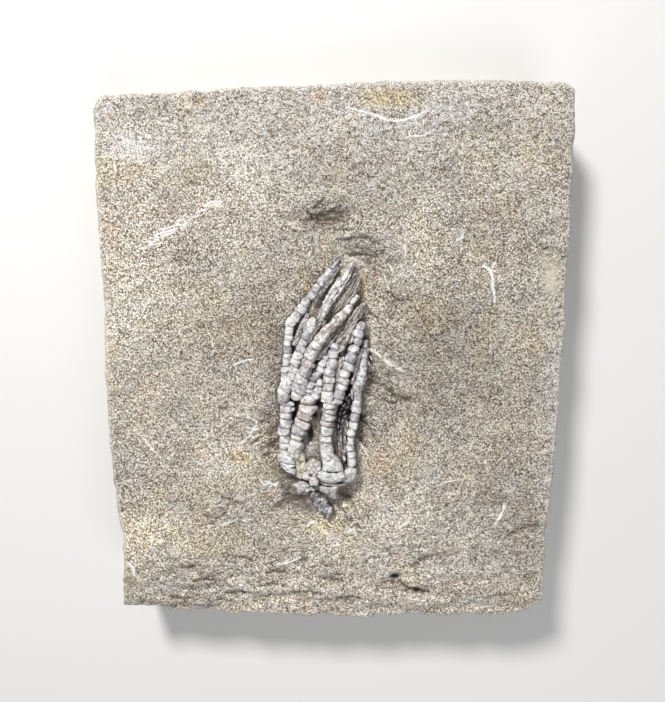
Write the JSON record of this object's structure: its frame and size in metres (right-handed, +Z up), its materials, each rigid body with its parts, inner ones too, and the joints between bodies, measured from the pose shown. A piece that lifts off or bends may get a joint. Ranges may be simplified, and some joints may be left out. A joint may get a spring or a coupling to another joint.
{
  "type": "crinoid fossil",
  "caption": "Fossil sea lily with cup, arms and a stub of stem, lying in relief on a trimmed slab of sandy siltstone with a flat back to rest on.",
  "frame": {"origin": "middle of the slab's flat back, which lies on the ground", "axes": "+X across the slab, +Y along it from the stem end to the arm tips, +Z up out of the face with the fossil"},
  "size_m": [0.0974, 0.1158, 0.021],
  "materials": {
    "siltstone": "matte",
    "pale_calcite": "matte",
    "grey_calcite": "matte",
    "brown_pinnules": "matte"
  },
  "bodies": {
    "root": {"matrix_slab": "siltstone", "stem": "grey_calcite", "cup": "pale_calcite", "ray_1": "pale_calcite", "ray_1_fork": "pale_calcite", "ray_2": "pale_calcite", "ray_3": "pale_calcite", "ray_4": "pale_calcite", "arm_1": "pale_calcite", "arm_2": "pale_calcite", "arm_3": "pale_calcite", "arm_4": "pale_calcite", "arm_5": "pale_calcite", "arm_6": "pale_calcite", "arm_7": "pale_calcite", "arm_8": "pale_calcite", "pinnule_crest": "pale_calcite", "pinnules_left": "brown_pinnules", "pinnules_middle": "brown_pinnules", "pinnules_right": "brown_pinnules", "pinnules_low": "brown_pinnules"}
  },
  "joints": []
}
